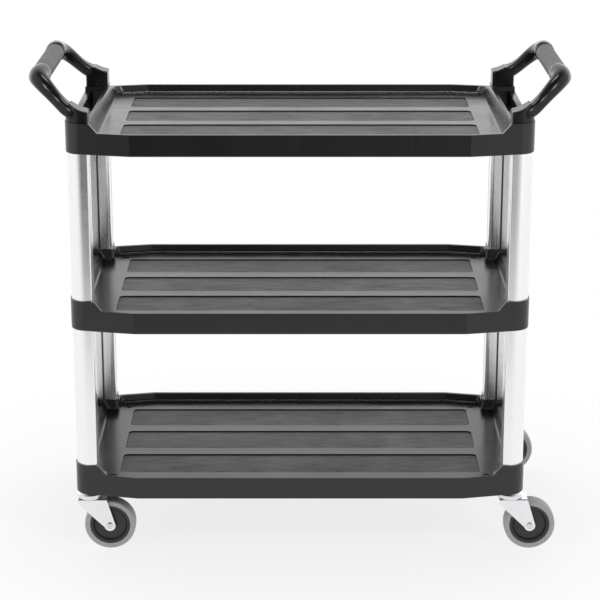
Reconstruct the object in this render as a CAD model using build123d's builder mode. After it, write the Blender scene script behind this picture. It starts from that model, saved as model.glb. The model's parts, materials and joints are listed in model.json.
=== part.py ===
from build123d import *
import os
from math import cos, pi, sin

os.makedirs("parts", exist_ok=True)

# A three-shelf food service trolley.  Millimetres.  X runs along the length, Y from
# the front to the rear, Z up.  The origin is on the floor under the middle.

# --- shelf plan --------------------------------------------------------------------
HALF_L = 444.5  # middle of a shelf to the outside of its end
HALF_W = 254.0  # middle of a shelf to its front edge
FLAT_X = 320.0  # where the front edge starts to fall back towards the corner
SLANT = 0.2146  # how far it falls back for each millimetre along
CORNER_R = 34.0
RIM_WALL = 5.5

# --- shelf heights -----------------------------------------------------------------
RIM_TOPS = {"bottom": 163.0, "middle": 501.0, "top": 849.5}
RIM_LOWS = {"bottom": 119.0, "middle": 459.0, "top": 807.5}
FRONT_RISE, REAR_RISE = 17.0, 8.0  # corner bosses above the rim
FLOOR_DROP = 15.0  # shelf floor below the rim
FLOOR_T = 6.0
PANEL_DEPTH = 2.0  # the three long panels lie this far below the floor
RIB_DEPTH = 5.0
RAMP_LOW, RAMP_HIGH = 381.0, 397.0  # the front edge climbs to the boss between these
REAR_STEP, REAR_FROM = 398.0, 200.0  # the rear edge, behind REAR_FROM, meets its boss squarely
COVE_R = 6.0  # between a tray's floor and its walls
END_LOW, END_HIGH = 178.0, 185.0  # the end rim climbs to the boss between these

# --- corner posts ------------------------------------------------------------------
POST = 43.5  # outside of the square section
POST_WALL = 3.5
POST_R = 32.0  # large outer corner
POST_NEAR_R, POST_SIDE_R = 9.0, 3.5  # innermost corner, and the other two
GROOVE_W, GROOVE_DEPTH = 4.0, 2.6
POST_X, POST_Y = 420.75, 209.25
SPIGOT_H = 26.0
SPIGOT_GAP = 0.25

# --- handles -----------------------------------------------------------------------
GRIP_X, GRIP_Z = 496.5, 940.5
GRIP_R, GRIP_BORE = 18.4, 13.0
GRIP_HALF = 117.0
FOOT = 44.5  # handle's foot on a boss
# Sections through an arm from its foot to the grip: x, y and z of the middle, the
# direction it runs in, its size across and through, and its corner radius.
ARM = (
    (425.0, 208.0, 883.0, (0.85, 0.00, 0.53), 42.0, 22.0, 8.0),
    (447.0, 200.5, 895.5, (0.78, -0.22, 0.60), 33.0, 24.0, 9.0),
    (459.0, 194.5, 906.5, (0.75, -0.22, 0.64), 28.0, 25.0, 10.0),
    (471.0, 188.5, 918.5, (0.70, -0.32, 0.66), 27.0, 28.0, 12.0),
    (488.0, 173.5, 934.0, (0.42, -0.75, 0.50), 32.0, 33.0, 15.5),
    (496.5, 150.0, 940.5, (0.00, -1.00, 0.00), 39.0, 39.0, 19.3),
    (496.5, 117.0, 940.5, (0.00, -1.00, 0.00), 39.0, 39.0, 19.3),
)
SCREW_HEAD_Z, SCREW_TOP = 816.5, 862.5

# --- casters -----------------------------------------------------------------------
SWIVEL_X, SWIVEL_Y = 418.0, 208.0
TRAIL = 39.5
WHEEL_R, WHEEL_W = 50.8, 32.0
HUB_R = 40.0
CROWN_TOP, SHEET = 107.0, 2.8
FORK_GAP, BEND_R = 35.2, 2.6
AXLE_R, SLEEVE_R = 4.0, 6.0
BALL_R, BALL_RING, BALL_Z = 2.4, 17.0, 111.6
STEM_R, STEM_TOP = 5.5, 150.0

CORNERS = {
    "front_left": (-1, -1),
    "front_right": (1, -1),
    "rear_left": (-1, 1),
    "rear_right": (1, 1),
}


def save(built, name):
    """Name one finished piece and write its file."""
    built.part.label = name
    export_step(built.part, "parts/" + name + ".step")


def boss_top(level, sy):
    """Height of a shelf's corner bosses, at the front (sy -1) or the rear (sy 1)."""
    return RIM_TOPS[level] + (FRONT_RISE if sy < 0 else REAR_RISE)


def half_width(x, inset):
    """Half the shelf's width at x, for an outline moved in by inset."""
    start = FLAT_X - 0.106 * inset
    return HALF_W - inset - SLANT * max(0.0, x - start)


def four_way(quarter):
    """Closed outline from the points of its +X +Y quarter, in anticlockwise order."""
    second = [(-x, y) for x, y in reversed(quarter)]
    third = [(-x, -y) for x, y in quarter]
    fourth = [(x, -y) for x, y in reversed(quarter)]
    return quarter + second + third + fourth


def plan(quarter, radius):
    """Draw a four-way outline, rounding every point beyond the straight front edge."""
    face = Polygon(*four_way(quarter), align=None)
    fillet(face.vertices().filter_by(lambda v: abs(v.X) > FLAT_X + 10), radius)


def corner_square(size, inset, sx, sy):
    """A square at a post's place: outward corner very round, innermost corner round."""
    h = size / 2
    cx, cy = sx * POST_X, sy * POST_Y
    outline = Polygon((cx - h, cy - h), (cx + h, cy - h), (cx + h, cy + h), (cx - h, cy + h), align=None)
    radii = ((1, 1, POST_R), (-1, -1, POST_NEAR_R), (1, -1, POST_SIDE_R), (-1, 1, POST_SIDE_R))
    for a, b, radius in radii:
        x, y = cx + sx * a * h, cy + sy * b * h
        corner = outline.vertices().filter_by(lambda v: abs(v.X - x) < 0.1 and abs(v.Y - y) < 0.1)
        outline = fillet(corner, max(radius - inset, 0.6))


# --- shelves -----------------------------------------------------------------------
for level, rim_top in RIM_TOPS.items():
    rim_low = RIM_LOWS[level]
    front_top, rear_top = boss_top(level, -1), boss_top(level, 1)
    above = front_top + 1.0
    floor = rim_top - FLOOR_DROP
    is_top = level == "top"
    end_cut = 402.5 if is_top else RAMP_LOW
    panel_x = 343.0 if is_top else 360.0

    with BuildPart() as shelf:
        # the block that the shelf is cut from, up to the tops of the corner bosses
        with BuildSketch(Plane.XY.offset(rim_low)):
            plan([(HALF_L, half_width(HALF_L, 0)), (FLAT_X, HALF_W)], CORNER_R)
        extrude(amount=front_top - rim_low)
        fillet(shelf.edges().filter_by(lambda e: abs(e.center().Z - rim_low) < 0.1), 2.0)

        # the front edge drops from its bosses to the rim in a ramp, the rear in a step
        with BuildSketch(Plane.XZ):
            Polygon(
                (-RAMP_LOW, rim_top), (RAMP_LOW, rim_top), (RAMP_HIGH, above), (-RAMP_HIGH, above),
                align=None,
            )
        extrude(amount=HALF_W + 10, mode=Mode.SUBTRACT)
        with BuildSketch(Plane.XZ.offset(-REAR_FROM)):
            Polygon(
                (-REAR_STEP, rim_top), (REAR_STEP, rim_top), (REAR_STEP, above), (-REAR_STEP, above),
                align=None,
            )
        extrude(amount=REAR_FROM - HALF_W - 10, mode=Mode.SUBTRACT)

        # everything above the rims falls gently from the front bosses to the rear ones
        with BuildSketch(Plane.YZ):
            Polygon(
                (-END_HIGH, front_top), (END_HIGH, rear_top), (HALF_W + 10, rear_top),
                (HALF_W + 10, above), (-END_HIGH, above),
                align=None,
            )
        extrude(amount=HALF_L + 10, both=True, mode=Mode.SUBTRACT)

        # the ends drop the same way between their bosses
        for start in (end_cut, -HALF_L - 10):
            with BuildSketch(Plane.YZ.offset(start)):
                Polygon(
                    (-END_LOW, rim_top), (END_LOW, rim_top), (END_HIGH, above), (-END_HIGH, above),
                    align=None,
                )
            extrude(amount=HALF_L + 10 - end_cut, mode=Mode.SUBTRACT)

        # inside of the tray, its walls leaning outward
        if is_top:
            low = [(383.0, half_width(383.0, 10)), (FLAT_X - 1, HALF_W - 10)]
            high = [(399.0, half_width(399.0, 2)), (FLAT_X - 1, HALF_W - 2)]
            radius = 22.0
        else:
            low = [
                (416.0, 179.0), (391.0, 179.0), (391.0, half_width(391.0, 10)), (FLAT_X - 1, HALF_W - 10),
            ]
            high = [
                (437.0, 184.0), (396.0, 184.0), (396.0, half_width(396.0, 2)), (FLAT_X - 1, HALF_W - 2),
            ]
            radius = 8.0
        with BuildSketch(Plane.XY.offset(floor)):
            plan(low, radius)
        with BuildSketch(Plane.XY.offset(above)):
            plan(high, radius)
        loft(ruled=True, mode=Mode.SUBTRACT)
        fillet(shelf.edges().filter_by(lambda e: abs(e.center().Z - floor) < 0.01), COVE_R)

        # three long recessed panels
        with BuildSketch(Plane.XY.offset(floor - PANEL_DEPTH)):
            with Locations((0, -134.7), (0, 134.7), (0, 0)):
                RectangleRounded(2 * panel_x, 101.0, 10.0)
        extrude(amount=PANEL_DEPTH + 1, mode=Mode.SUBTRACT)

        # hollow underside
        inner = 398.0 if is_top else HALF_L - 1.5 - RIM_WALL
        core = [
            (inner, END_LOW - 2), (389.0, END_LOW - 2), (389.0, half_width(389.0, RIM_WALL)),
            (FLAT_X - 1, HALF_W - RIM_WALL),
        ]
        with BuildSketch(Plane.XY.offset(rim_low - 1)):
            plan(core, 4.0)
        extrude(amount=floor - FLOOR_T - rim_low + 1, mode=Mode.SUBTRACT)

        # stiffening ribs under the floor
        rib_low = floor - FLOOR_T - RIB_DEPTH
        with BuildSketch(Plane.XY.offset(rib_low)):
            with Locations((0, -67.0), (0, 67.0)):
                Rectangle(2 * inner + 2, 4.5)
            with Locations((0, 0), (213.0, 0), (-213.0, 0)):
                Rectangle(4.5, 2 * (HALF_W - RIM_WALL) + 2)
        extrude(amount=floor - FLOOR_T - rib_low + 0.5)

        if is_top:
            # open channel between each end wall and the outer skirt
            for sx in (-1, 1):
                with BuildSketch(Plane.XY.offset(rim_low - 1)):
                    with Locations((sx * 417.5, 0)):
                        RectangleRounded(30.0, 2 * END_LOW - 2, 6.0)
                extrude(amount=above - rim_low + 1, mode=Mode.SUBTRACT)
        else:
            # small drain slots in the corners of the floor
            with BuildSketch(Plane.XY.offset(floor - FLOOR_T - 1)):
                with Locations(*[(sx * 371.0, sy * 198.0) for sx in (-1, 1) for sy in (-1, 1)]):
                    RectangleRounded(12.0, 8.0, 2.0)
            extrude(amount=FLOOR_T + 2, mode=Mode.SUBTRACT)

        spigot = POST - 2 * POST_WALL - 2 * SPIGOT_GAP
        for sx, sy in CORNERS.values():
            if not is_top:
                with BuildSketch(Plane.XY.offset(boss_top(level, sy))):
                    corner_square(spigot, POST_WALL, sx, sy)
                extrude(amount=SPIGOT_H)
            if level != "bottom":
                with BuildSketch(Plane.XY.offset(rim_low)):
                    corner_square(spigot, POST_WALL, sx, sy)
                extrude(amount=-SPIGOT_H)
            else:
                with BuildSketch(Plane.XY.offset(rim_low)):
                    with Locations((sx * SWIVEL_X, sy * SWIVEL_Y)):
                        Circle(9.5)
                extrude(amount=STEM_TOP + 2 - rim_low, mode=Mode.SUBTRACT)
            if is_top:
                # socket for the handle's spigot, and a screw hole up into it
                with BuildSketch(Plane.XY.offset(boss_top(level, sy))):
                    with Locations((sx * POST_X, sy * POST_Y)):
                        RectangleRounded(24.4, 24.4, 4.2)
                extrude(amount=-18.0, mode=Mode.SUBTRACT)
                with BuildSketch(Plane.XY.offset(rim_low - SPIGOT_H - 1)):
                    with Locations((sx * POST_X, sy * POST_Y)):
                        Circle(6.0)
                extrude(amount=SCREW_HEAD_Z - rim_low + SPIGOT_H + 1, mode=Mode.SUBTRACT)
                with BuildSketch(Plane.XY.offset(rim_low)):
                    with Locations((sx * POST_X, sy * POST_Y)):
                        Circle(2.6)
                extrude(amount=45.0, mode=Mode.SUBTRACT)
    save(shelf, "tray_" + level)

# --- posts -------------------------------------------------------------------------
for span, (below, over) in {"lower": ("bottom", "middle"), "upper": ("middle", "top")}.items():
    for tag, (sx, sy) in CORNERS.items():
        z0 = boss_top(below, sy)
        z1 = RIM_LOWS[over]
        with BuildPart() as post:
            with BuildSketch(Plane.XY.offset(z0)):
                corner_square(POST, 0.0, sx, sy)
            extrude(amount=z1 - z0)
            with BuildSketch(Plane.XY.offset(z0)):
                corner_square(POST - 2 * POST_WALL, POST_WALL, sx, sy)
                # the two inward faces each have a groove
                with Locations((sx * (POST_X + 4.5), sy * (POST_Y - POST / 2))):
                    Rectangle(GROOVE_W, 2 * GROOVE_DEPTH)
                with Locations((sx * (POST_X - POST / 2), sy * (POST_Y + 4.5))):
                    Rectangle(2 * GROOVE_DEPTH, GROOVE_W)
            extrude(amount=z1 - z0, mode=Mode.SUBTRACT)
        save(post, "post_" + span + "_" + tag)

# --- handles -----------------------------------------------------------------------
for side, sx in {"left": -1, "right": 1}.items():
    with BuildPart() as handle:
        # feet, standing on the bosses and rising towards the arms
        for sy in (-1, 1):
            with BuildSketch(Plane.XY.offset(boss_top("top", sy))):
                corner_square(FOOT, 0.0, sx, sy)
            extrude(amount=40.0)
        with BuildSketch(Plane.XZ):
            with BuildLine():
                Line((sx * 450.0, 850.0), (sx * 390.0, 850.0))
                Line((sx * 390.0, 850.0), (sx * 390.0, 887.0))
                Spline(
                    (sx * 390.0, 887.0), (sx * 408.0, 890.0), (sx * 421.0, 895.5), (sx * 433.0, 903.0),
                    tangents=((sx, 0.1), (sx * 0.84, 0.54)),
                )
                Line((sx * 433.0, 903.0), (sx * 450.0, 884.0))
                Line((sx * 450.0, 884.0), (sx * 450.0, 850.0))
            make_face()
        extrude(amount=260.0, both=True, mode=Mode.INTERSECT)
        fillet(handle.edges().filter_by(lambda e: e.center().Z > 880.0), 3.0)
        # arms, each drawn through its sections
        for sy in (-1, 1):
            for x, y, z, (rx, ry, rz), width, depth, radius in ARM:
                run = Vector(sx * rx, sy * ry, rz)
                across = run.cross(Vector(-sx * 0.66, 0, 0.75))
                with BuildSketch(Plane(origin=(sx * x, sy * y, z), x_dir=across, z_dir=run)):
                    RectangleRounded(width, depth, radius)
            loft()
        # round bar inside the grip
        with BuildSketch(Plane.XZ.offset(-GRIP_HALF - 1)):
            with Locations((sx * GRIP_X, GRIP_Z)):
                Circle(GRIP_BORE - 0.05)
        extrude(amount=2 * GRIP_HALF + 2)
        # spigots that stand in the bosses, bored for a screw
        for sy in (-1, 1):
            top = boss_top("top", sy)
            with BuildSketch(Plane.XY.offset(top)):
                with Locations((sx * POST_X, sy * POST_Y)):
                    RectangleRounded(24.0, 24.0, 4.0)
            extrude(amount=-17.5)
            with BuildSketch(Plane.XY.offset(top - 18.0)):
                with Locations((sx * POST_X, sy * POST_Y)):
                    Circle(2.0)
            extrude(amount=SCREW_TOP + 1.0 - top + 18.0, mode=Mode.SUBTRACT)
    save(handle, "handle_" + side)

    with BuildPart() as grip:
        with BuildSketch(Plane.XZ.offset(-GRIP_HALF + 0.2)):
            with Locations((sx * GRIP_X, GRIP_Z)):
                Circle(GRIP_R)
                Circle(GRIP_BORE, mode=Mode.SUBTRACT)
        extrude(amount=2 * GRIP_HALF - 0.4)
        fillet(grip.edges().filter_by(GeomType.CIRCLE).filter_by(lambda e: e.radius > GRIP_R - 0.1), 1.2)
        # a fine ring groove near each end
        for y in (-GRIP_HALF + 5.0, GRIP_HALF - 6.5):
            with BuildSketch(Plane.XZ.offset(-y - 1.5)):
                with Locations((sx * GRIP_X, GRIP_Z)):
                    Circle(GRIP_R + 1)
                    Circle(GRIP_R - 0.7, mode=Mode.SUBTRACT)
            extrude(amount=1.5, mode=Mode.SUBTRACT)
    save(grip, "grip_" + side)

# one screw in each handle spigot, driven up from inside the boss
with BuildPart() as handle_screws:
    for sx, sy in CORNERS.values():
        with BuildSketch(Plane.XY.offset(SCREW_HEAD_Z - 3.2)):
            with Locations((sx * POST_X, sy * POST_Y)):
                Circle(4.6)
        extrude(amount=3.2)
        with BuildSketch(Plane.XY.offset(SCREW_HEAD_Z)):
            with Locations((sx * POST_X, sy * POST_Y)):
                Circle(1.95)
        extrude(amount=SCREW_TOP - SCREW_HEAD_Z)
save(handle_screws, "handle_screws")

# --- casters -----------------------------------------------------------------------
for tag, (sx, sy) in CORNERS.items():
    px, py = sx * SWIVEL_X, sy * SWIVEL_Y
    wx = px + TRAIL

    # steel sleeve in the bottom shelf's boss
    with BuildPart() as socket:
        with BuildSketch(Plane.XY.offset(RIM_LOWS["bottom"])):
            with Locations((px, py)):
                Circle(9.45)
                Circle(STEM_R + 0.05, mode=Mode.SUBTRACT)
        extrude(amount=STEM_TOP + 1.5 - RIM_LOWS["bottom"])
    save(socket, "socket_" + tag)

    # stem, carrying on down as the riveted pin that holds the fork
    with BuildPart() as stem:
        with BuildSketch(Plane.XZ.offset(-py)):
            with BuildLine():
                Polyline(
                    (px, 100.6), (px + 8.0, 100.6), (px + 9.0, 101.6), (px + 9.0, 103.9),
                    (px + 6.0, 103.9), (px + 6.0, 117.0), (px + STEM_R, 117.0),
                    (px + STEM_R, 141.0), (px + 4.6, 141.6), (px + 4.6, 143.6), (px + STEM_R, 144.2),
                    (px + STEM_R, STEM_TOP - 2.0), (px + 3.5, STEM_TOP), (px, STEM_TOP), close=True,
                )
            make_face()
        revolve(axis=Axis((px, py, 0), (0, 0, 1)))
    save(stem, "stem_" + tag)

    # upper race: a pressed cup whose skirt covers the balls
    with BuildPart() as race:
        with BuildSketch(Plane.XZ.offset(-py)):
            with BuildLine():
                Polyline(
                    (px + 6.05, 113.0), (px + 6.05, RIM_LOWS["bottom"]), (px + 21.0, RIM_LOWS["bottom"]),
                    (px + 25.0, 115.0), (px + 25.0, 108.2), (px + 23.2, 108.2), (px + 23.2, 113.0),
                    close=True,
                )
            make_face()
            with Locations((px + BALL_RING, BALL_Z)):
                Circle(BALL_R + 0.3, mode=Mode.SUBTRACT)
        revolve(axis=Axis((px, py, 0), (0, 0, 1)))
    save(race, "race_" + tag)

    with BuildPart() as balls:
        for i in range(16):
            a = 2 * pi * i / 16
            with Locations((px + BALL_RING * cos(a), py + BALL_RING * sin(a), BALL_Z)):
                Sphere(BALL_R)
    save(balls, "balls_" + tag)

    # pressed fork: crown, two legs and the raised lower race
    with BuildPart() as fork:
        half = FORK_GAP / 2 + SHEET
        with BuildSketch(Plane.XY.offset(CROWN_TOP - SHEET)):
            with Locations((px + 6.0, py)):
                Rectangle(56.0, 2 * half)
        extrude(amount=SHEET)
        for y in (py - half + SHEET, py + half):
            with BuildSketch(Plane.XZ.offset(-y)):
                with BuildLine():
                    Polyline(
                        (px - 22.0, CROWN_TOP), (px + 34.0, CROWN_TOP), (wx + 10.2, WHEEL_R + 4.0),
                        (wx - 8.5, WHEEL_R - 5.0), (px - 22.0, CROWN_TOP - 10.0), close=True,
                    )
                make_face()
                with Locations((wx, WHEEL_R)):
                    Circle(11.0)
            extrude(amount=SHEET)
        bends = fork.edges().filter_by(Axis.X).filter_by(lambda e: abs(e.center().Z - CROWN_TOP) < 0.1)
        fillet(bends.filter_by(lambda e: abs(abs(e.center().Y - py) - half) < 0.1), BEND_R)
        with BuildSketch(Plane.XZ.offset(-py)):
            with BuildLine():
                Polyline(
                    (px + 8.5, CROWN_TOP - 0.5), (px + 8.5, 110.4), (px + 21.5, 110.4),
                    (px + 22.6, 109.4), (px + 22.6, CROWN_TOP - 0.5), close=True,
                )
            make_face()
            with Locations((px + BALL_RING, BALL_Z)):
                Circle(BALL_R + 0.05, mode=Mode.SUBTRACT)
        revolve(axis=Axis((px, py, 0), (0, 0, 1)))
        with BuildSketch(Plane.XY.offset(CROWN_TOP - SHEET - 1)):
            with Locations((px, py)):
                Circle(6.05)
        extrude(amount=SHEET + 2, mode=Mode.SUBTRACT)
        with BuildSketch(Plane.XZ.offset(-py - half - 1)):
            with Locations((wx, WHEEL_R)):
                Circle(AXLE_R + 0.05)
        extrude(amount=2 * half + 2, mode=Mode.SUBTRACT)
    save(fork, "fork_" + tag)

    # axle bolt with its head at the front, and a nut at the rear
    with BuildPart() as axle_bolt:
        with BuildSketch(Plane.XZ.offset(-py + half)):
            with Locations((wx, WHEEL_R)):
                RegularPolygon(6.4, 6)
        extrude(amount=4.2)
        with BuildSketch(Plane.XZ.offset(-py + half)):
            with Locations((wx, WHEEL_R)):
                Circle(AXLE_R)
        extrude(amount=-(2 * half + 7.0))
    save(axle_bolt, "axle_bolt_" + tag)

    with BuildPart() as axle_nut:
        with BuildSketch(Plane.XZ.offset(-py - half)):
            with Locations((wx, WHEEL_R)):
                RegularPolygon(7.0, 6)
                Circle(AXLE_R + 0.05, mode=Mode.SUBTRACT)
        extrude(amount=-6.0)
    save(axle_nut, "axle_nut_" + tag)

    with BuildPart() as axle_sleeve:
        with BuildSketch(Plane.XZ.offset(-py + FORK_GAP / 2)):
            with Locations((wx, WHEEL_R)):
                Circle(SLEEVE_R)
                Circle(AXLE_R + 0.05, mode=Mode.SUBTRACT)
        extrude(amount=-FORK_GAP)
    save(axle_sleeve, "axle_sleeve_" + tag)

    # hub: bored boss, dished web and rim
    with BuildPart() as hub:
        with BuildSketch(Plane.XY.offset(WHEEL_R)):
            with BuildLine():
                Polyline(
                    (wx + SLEEVE_R + 0.05, py - 16.6), (wx + 13.0, py - 16.6), (wx + 14.5, py - 11.0),
                    (wx + 31.0, py - 9.5), (wx + 34.0, py - 14.0), (wx + HUB_R, py - 14.5),
                    (wx + HUB_R, py + 14.5), (wx + 34.0, py + 14.0), (wx + 31.0, py + 9.5),
                    (wx + 14.5, py + 11.0), (wx + 13.0, py + 16.6), (wx + SLEEVE_R + 0.05, py + 16.6),
                    close=True,
                )
            make_face()
        revolve(axis=Axis((wx, py, WHEEL_R), (0, 1, 0)))
    save(hub, "hub_" + tag)

    # tyre moulded round the hub's rim
    with BuildPart() as tyre:
        with BuildSketch(Plane.XY.offset(WHEEL_R)):
            with BuildLine():
                Polyline(
                    (wx + HUB_R, py - 14.5), (wx + 47.0, py - WHEEL_W / 2), (wx + 48.6, py - WHEEL_W / 2),
                    (wx + WHEEL_R - 0.5, py - 13.0),
                )
                ThreePointArc(
                    (wx + WHEEL_R - 0.5, py - 13.0), (wx + WHEEL_R, py), (wx + WHEEL_R - 0.5, py + 13.0)
                )
                Polyline(
                    (wx + WHEEL_R - 0.5, py + 13.0), (wx + 48.6, py + WHEEL_W / 2),
                    (wx + 47.0, py + WHEEL_W / 2), (wx + HUB_R, py + 14.5),
                )
                Line((wx + HUB_R, py + 14.5), (wx + HUB_R, py - 14.5))
            make_face()
        revolve(axis=Axis((wx, py, WHEEL_R), (0, 1, 0)))
    save(tyre, "tyre_" + tag)
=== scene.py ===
import json
import math

import bpy
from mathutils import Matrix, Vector


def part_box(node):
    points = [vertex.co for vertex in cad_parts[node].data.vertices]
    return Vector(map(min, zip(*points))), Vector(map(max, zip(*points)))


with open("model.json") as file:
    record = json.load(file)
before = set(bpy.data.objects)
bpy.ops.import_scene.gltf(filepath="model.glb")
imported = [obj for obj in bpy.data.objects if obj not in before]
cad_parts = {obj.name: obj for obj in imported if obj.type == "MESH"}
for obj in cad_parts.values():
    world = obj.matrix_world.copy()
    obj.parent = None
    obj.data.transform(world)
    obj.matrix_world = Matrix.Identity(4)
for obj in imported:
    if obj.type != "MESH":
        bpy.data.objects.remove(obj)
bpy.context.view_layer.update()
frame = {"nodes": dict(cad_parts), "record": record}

nodes = frame["nodes"]
scene = bpy.context.scene

# Lengths are in metres. X runs along the trolley, -Y is its front and Z is up.

# shelves: middles of the ribs under the floor, and the sink lines that they leave in it
RIBS_X = (0.0, 0.213, -0.213)
RIBS_Y = (0.067, -0.067)
SINK_HALF_WIDTH = 0.009
PANEL_BAND = 0.0006  # a face this close to the panels' height is on a panel,
UPWARD = 0.9  # if the Z of its normal is above this as well

# posts: the grooves in their two inward faces, measured from the trolley's middle
GROOVE_X, GROOVE_Y = 0.42525, 0.21375
GROOVE_HALF, GROOVE_DEEP = 0.002, 0.0026
# the two numbers below place the painted shade in the post grooves: how far it reaches past a groove's sides,
# and how far in from the post's face it stops
SHADE_PAST, SHADE_FROM = 0.0002, 0.0003  # past the groove's sides, and in from the post's face

# floor
FLOOR_GLOW = 0.80  # share of the floor that is white of its own, so shadows stay pale
FLOOR_FADE = (0.45, 1.05)  # the distances between which the rest of it turns white
FLOOR_LEFT, FLOOR_RIGHT, FLOOR_FRONT, FLOOR_REAR = -5, 5, -1.9, 6

# light: strength of the surroundings, and power of the lamps in watts
BEHIND, BESIDE, AHEAD, OVERHEAD = 1.15, 1.0, 0.40, 0.09
TOP_LAMP, SIDE_LAMP = 26.0, 22.0
LAMP_AIM = (0, 0, 0.5)

# camera
LENS_MM, SENSOR_MM = 122.5, 36.0
CAMERA_PLACE = (0.0, -3.991, 1.657)
CAMERA_DOWN = 16.806  # degrees below the horizontal
CLIP_END = 50.0


# --- node helpers ------------------------------------------------------------------
def put(tree, socket, value):
    """Link value to the socket if it is a socket itself, or else set it."""
    if isinstance(value, bpy.types.NodeSocket):
        tree.links.new(value, socket)
    else:
        socket.default_value = value


class Graph:
    """Adds nodes to one node tree."""

    def __init__(self, tree):
        self.tree = tree

    def node(self, kind, inputs=None, **settings):
        n = self.tree.nodes.new(kind)
        for key, value in settings.items():
            setattr(n, key, value)
        for key, value in (inputs or {}).items():
            put(self.tree, n.inputs[key], value)
        return n

    def math(self, operation, a, b=0.0, c=0.0):
        return self.node("ShaderNodeMath", {0: a, 1: b, 2: c}, operation=operation).outputs[0]

    def span(self, value, a, b, lo, hi):
        """Go smoothly from lo to hi while value goes from a to b."""
        n = self.node(
            "ShaderNodeMapRange",
            {"Value": value, "From Min": a, "From Max": b, "To Min": lo, "To Max": hi},
            interpolation_type="SMOOTHSTEP",
        )
        return n.outputs["Result"]

    def noise(self, where, scale, detail=3.0, rough=0.55):
        n = self.node(
            "ShaderNodeTexNoise", {"Vector": where, "Scale": scale, "Detail": detail, "Roughness": rough}
        )
        return n.outputs["Fac"]

    def mix(self, factor, a, b):
        """Colour a where factor is 0, and b where it is 1."""
        return self.node("ShaderNodeMix", {0: factor, 6: a, 7: b}, data_type="RGBA").outputs[2]

    def place(self, scale=(1.0, 1.0, 1.0)):
        coords = self.node("ShaderNodeTexCoord").outputs["Object"]
        return self.node("ShaderNodeMapping", {"Vector": coords, "Scale": scale}).outputs["Vector"]

    def split(self, vector):
        return self.node("ShaderNodeSeparateXYZ", {0: vector}).outputs

    def bump(self, height, distance, strength=1.0, normal=None):
        inputs = {"Height": height, "Distance": distance, "Strength": strength}
        if normal is not None:
            inputs["Normal"] = normal
        return self.node("ShaderNodeBump", inputs).outputs["Normal"]


class Finish(Graph):
    """One material and its node tree."""

    def __init__(self, name):
        self.material = bpy.data.materials.new(name)
        self.material.use_nodes = True
        super().__init__(self.material.node_tree)
        self.shader = self.tree.nodes["Principled BSDF"]

    def feed(self, **sockets):
        """Give the shader's sockets their values. Underscores stand for spaces in their names."""
        for key, value in sockets.items():
            put(self.tree, self.shader.inputs[key.replace("_", " ")], value)


def grey(v, tint=0.0):
    """A grey of brightness v, its blue raised by the share tint."""
    return (v, v, v * (1 + tint), 1.0)


# --- materials ---------------------------------------------------------------------
def shelf_plastic(name, panel_z):
    """Fairly glossy black moulding; the recessed panels are finely grained."""
    g = Finish(name)
    where = g.place()
    x, y, z = g.split(where)

    # 1 on the panels, 0 elsewhere
    level = g.math("LESS_THAN", g.math("ABSOLUTE", g.math("SUBTRACT", z, panel_z)), PANEL_BAND)
    facing = g.split(g.node("ShaderNodeNewGeometry").outputs["True Normal"])
    panel = g.math("MULTIPLY", level, g.math("GREATER_THAN", facing["Z"], UPWARD))

    cloud = g.noise(where, 7.0, 4.0)
    scuff = g.noise(g.place((1.0, 9.0, 1.0)), 22.0, 5.0, 0.7)
    grain = g.noise(where, 1500.0, 2.0)
    ripple = g.noise(where, 16.0, 2.0)

    # faint sink lines in the floor over the ribs underneath
    lines = 0.0
    for axis, ribs in ((x, RIBS_X), (y, RIBS_Y)):
        for middle in ribs:
            off = g.math("ABSOLUTE", g.math("SUBTRACT", axis, middle))
            lines = g.math("MAXIMUM", lines, g.span(off, 0.0, SINK_HALF_WIDTH, 1.0, 0.0))

    plain_colour = g.mix(cloud, grey(0.007, 0.04), grey(0.010, 0.04))
    panel_colour = g.mix(cloud, grey(0.011, 0.04), grey(0.016, 0.04))
    sheen = g.math("MULTIPLY_ADD", panel, 0.20, g.span(cloud, 0.3, 0.7, 0.17, 0.25))
    wear = g.math(
        "MULTIPLY", g.span(scuff, 0.42, 0.68, 0.0, 0.16), g.math("MULTIPLY_ADD", panel, 0.8, 0.2)
    )
    grained = g.bump(g.math("MULTIPLY", grain, panel), 0.00016, 0.9)
    rippled = g.bump(g.math("SUBTRACT", ripple, g.math("MULTIPLY", lines, 0.6)), 0.0004, 0.35, grained)
    g.feed(
        Base_Color=g.mix(panel, plain_colour, panel_colour),
        Roughness=g.math("ADD", sheen, wear),
        IOR=1.5,
        Normal=rippled,
    )
    return g.material


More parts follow.
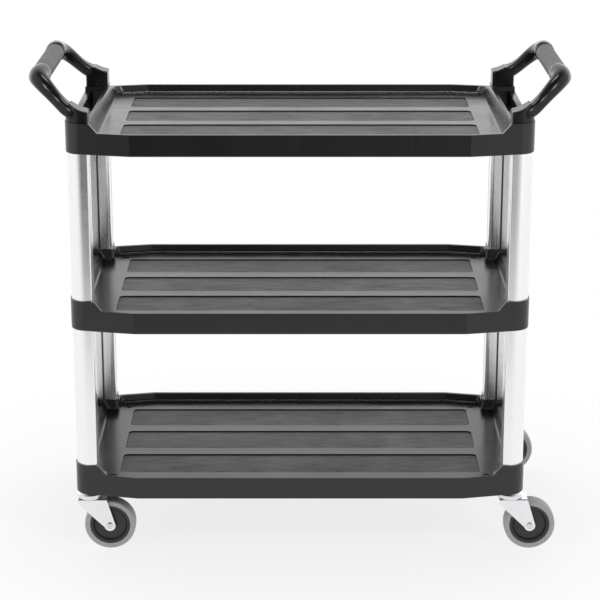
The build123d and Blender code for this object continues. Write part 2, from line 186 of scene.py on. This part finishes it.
def aluminium():
    """Satin extrusion: drawing lines up its length, and painted shade, dark and less metallic, in its two
    grooves.
    """
    g = Finish("post_aluminium")
    where = g.place()
    streaks = g.noise(g.place((260.0, 260.0, 1.5)), 4.0, 4.0, 0.6)
    cloud = g.noise(where, 9.0, 3.0)
    x, y = g.split(where)[:2]

    def near(axis, middle, half):
        """1 less than half away from middle or its mirror image, 0 elsewhere."""
        off = g.math("ABSOLUTE", g.math("SUBTRACT", g.math("ABSOLUTE", axis), middle))
        return g.math("LESS_THAN", off, half)

    # one groove in the post's inward Y face and one in its inward X face
    post_lo, post_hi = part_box("post_upper_rear_right")
    wide = GROOVE_HALF + SHADE_PAST
    deep = GROOVE_DEEP - SHADE_FROM
    # mask of the painted shade in the grooves, which stands in for the shade that falls in them
    in_y_face = g.math("MULTIPLY", near(x, GROOVE_X, wide), near(y, post_lo[1] + GROOVE_DEEP, deep))
    in_x_face = g.math("MULTIPLY", near(y, GROOVE_Y, wide), near(x, post_lo[0] + GROOVE_DEEP, deep))
    groove = g.math("MAXIMUM", in_y_face, in_x_face)

    bright = g.mix(streaks, (0.87, 0.87, 0.88, 1), (0.91, 0.91, 0.92, 1))
    g.feed(
        # painted shade: inside the grooves the colour turns dark grey and less metallic
        Base_Color=g.mix(groove, bright, grey(0.10)),
        Metallic=g.math("SUBTRACT", 1.0, g.math("MULTIPLY", groove, 0.6)),
        Roughness=g.math("ADD", g.span(streaks, 0.3, 0.7, 0.22, 0.27), g.span(cloud, 0.3, 0.7, 0.0, 0.05)),
        Normal=g.bump(streaks, 0.00001, 0.25),
    )
    return g.material


def handle_plastic():
    """Glossy black moulding with a trace of orange peel."""
    g = Finish("handle_plastic")
    where = g.place()
    cloud = g.noise(where, 14.0, 4.0)
    smear = g.noise(where, 60.0, 4.0, 0.7)
    g.feed(
        Base_Color=g.mix(cloud, grey(0.006), grey(0.010)),
        Roughness=g.span(smear, 0.4, 0.75, 0.12, 0.24),
        IOR=1.36,
        Normal=g.bump(g.noise(where, 240.0, 2.0), 0.00006, 0.5),
    )
    return g.material


def grip_plastic():
    """Dark grey grip with a fine leathery texture."""
    g = Finish("grip")
    where = g.place()
    cells = g.node("ShaderNodeTexVoronoi", {"Vector": where, "Scale": 900.0}).outputs["Distance"]
    cloud = g.noise(where, 30.0, 4.0)
    g.feed(
        Base_Color=g.mix(cloud, grey(0.085), grey(0.110)),
        Roughness=g.span(cloud, 0.3, 0.7, 0.55, 0.68),
        Normal=g.bump(cells, 0.00015, 0.6),
    )
    return g.material


def metal(name, colour, rough, grain_scale):
    """Plated or drawn steel, a little cloudy."""
    g = Finish(name)
    where = g.place()
    cloud = g.noise(where, 55.0, 4.0, 0.6)
    fine = g.noise(where, grain_scale, 3.0)
    g.feed(
        Base_Color=g.mix(cloud, (*colour, 1.0), (*(c * 0.92 for c in colour), 1.0)),
        Metallic=1.0,
        Roughness=g.math("ADD", g.span(cloud, 0.3, 0.7, rough, rough + 0.06), g.math("MULTIPLY", fine, 0.06)),
        Normal=g.bump(fine, 0.00001, 0.3),
    )
    return g.material


def hub_plastic():
    """Satin black moulding."""
    g = Finish("hub_plastic")
    where = g.place()
    cloud = g.noise(where, 40.0, 4.0)
    g.feed(
        Base_Color=g.mix(cloud, grey(0.012), grey(0.020)),
        Roughness=g.span(cloud, 0.3, 0.7, 0.32, 0.46),
        Normal=g.bump(g.noise(where, 1100.0, 2.0), 0.0001, 0.5),
    )
    return g.material


def tyre_rubber():
    """Light grey non-marking tread, a touch dustier in places."""
    g = Finish("tyre")
    where = g.place()
    cloud = g.noise(where, 35.0, 5.0, 0.65)
    dust = g.noise(where, 420.0, 3.0)
    g.feed(
        Base_Color=g.mix(cloud, grey(0.30, 0.01), grey(0.40, 0.01)),
        Roughness=g.span(cloud, 0.3, 0.7, 0.5, 0.66),
        Normal=g.bump(dust, 0.00012, 0.5),
    )
    return g.material


def panel_level(level):
    """Height of a shelf's recessed panels: the mount in the record lies on one."""
    for mount in frame["record"]["mounts"]:
        if mount["name"] == level + "_tray_floor":
            return mount["pos_m"][2]


# a finish for the first word of a node's name, or for the whole of it
finishes = {
    "post": aluminium(),
    "handle_screws": metal("screw_steel", (0.62, 0.62, 0.64), 0.25, 900.0),
    "handle": handle_plastic(),
    "grip": grip_plastic(),
    "fork": metal("zinc_plate", (0.86, 0.87, 0.89), 0.16, 700.0),
    "race": metal("zinc_race", (0.80, 0.81, 0.83), 0.20, 700.0),
    "bright": metal("bright_steel", (0.72, 0.72, 0.74), 0.18, 900.0),
    "hub": hub_plastic(),
    "tyre": tyre_rubber(),
}
for name, obj in nodes.items():
    first, _, rest = name.partition("_")
    if first == "tray":
        material = shelf_plastic("shelf_plastic_" + rest, panel_level(rest))
    elif name in finishes:
        material = finishes[name]
    else:
        material = finishes.get(first, finishes["bright"])
    if not obj.material_slots:
        obj.data.materials.append(material)
    for slot in obj.material_slots:
        slot.material = material


# --- floor -------------------------------------------------------------------------
def make_floor():
    """A pale floor that fades to plain white away from the trolley."""
    corners = [
        (FLOOR_LEFT, FLOOR_FRONT, 0),
        (FLOOR_RIGHT, FLOOR_FRONT, 0),
        (FLOOR_RIGHT, FLOOR_REAR, 0),
        (FLOOR_LEFT, FLOOR_REAR, 0),
    ]
    mesh = bpy.data.meshes.new("floor")
    mesh.from_pydata(corners, [], [(0, 1, 2, 3)])
    floor = bpy.data.objects.new("floor", mesh)
    scene.collection.objects.link(floor)

    g = Finish("floor")
    where = g.place()
    reach = g.node("ShaderNodeVectorMath", {0: where}, operation="LENGTH").outputs["Value"]
    whiteness = g.span(reach, *FLOOR_FADE, FLOOR_GLOW, 1.0)
    g.feed(Base_Color=g.mix(g.noise(where, 3.0), grey(0.90), grey(0.93)), Roughness=0.75)
    white = g.node("ShaderNodeEmission", {"Color": (1, 1, 1, 1), "Strength": 1.0})
    both = g.node("ShaderNodeMixShader", {0: whiteness, 1: g.shader.outputs[0], 2: white.outputs[0]})
    put(g.tree, g.tree.nodes["Material Output"].inputs["Surface"], both.outputs[0])
    mesh.materials.append(g.material)


make_floor()


# --- light -------------------------------------------------------------------------
def make_world():
    """White behind and to both sides, dark overhead, a little light from the front right."""
    world = bpy.data.worlds.new("studio")
    scene.world = world
    world.use_nodes = True
    world.node_tree.nodes.clear()
    g = Graph(world.node_tree)

    x, y = g.split(g.node("ShaderNodeTexCoord").outputs["Generated"])[:2]
    behind = g.span(y, 0.30, 0.80, 0.0, BEHIND)
    front = g.span(g.math("MULTIPLY", y, -1.0), 0.45, 0.90, 0.0, AHEAD)
    ahead = g.math("MULTIPLY", front, g.span(x, -0.06, 0.14, 0.0, 1.0))
    beside = g.span(g.math("ABSOLUTE", x), 0.25, 0.85, 0.0, BESIDE)
    total = g.math("ADD", g.math("ADD", behind, ahead), g.math("ADD", beside, OVERHEAD))

    # the backdrop itself is seen as plain white
    seen = g.node("ShaderNodeLightPath").outputs["Is Camera Ray"]
    strength = g.node("ShaderNodeMix", {0: seen, 2: total, 3: 1.0}).outputs[0]
    back = g.node("ShaderNodeBackground", {"Color": (1.0, 1.0, 1.0, 1.0), "Strength": strength})
    g.node("ShaderNodeOutputWorld", {"Surface": back.outputs[0]})


def softbox(name, place, size, watts):
    """A rectangular area light at place, facing the middle of the trolley."""
    data = bpy.data.lights.new(name, "AREA")
    data.shape = "RECTANGLE"
    data.size, data.size_y = size
    data.energy = watts
    light = bpy.data.objects.new(name, data)
    light.location = place
    light.rotation_mode = "QUATERNION"
    light.rotation_quaternion = (Vector(LAMP_AIM) - Vector(place)).to_track_quat("-Z", "Y")
    light.visible_camera = False
    scene.collection.objects.link(light)


make_world()
softbox("overhead", (0.0, 0.3, 3.6), (1.2, 0.9), TOP_LAMP)
softbox("left", (-2.4, -2.6, 2.6), (0.7, 0.9), SIDE_LAMP)
softbox("right", (2.4, -2.6, 2.6), (0.7, 0.9), SIDE_LAMP)

# --- camera ------------------------------------------------------------------------
camera_data = bpy.data.cameras.new("camera")
camera = bpy.data.objects.new("camera", camera_data)
scene.collection.objects.link(camera)
camera_data.sensor_width = SENSOR_MM
camera_data.lens = LENS_MM
camera_data.clip_end = CLIP_END
camera.location = CAMERA_PLACE
camera.rotation_euler = (math.radians(90 - CAMERA_DOWN), 0.0, 0.0)
scene.camera = camera
scene.view_settings.view_transform = "Standard"
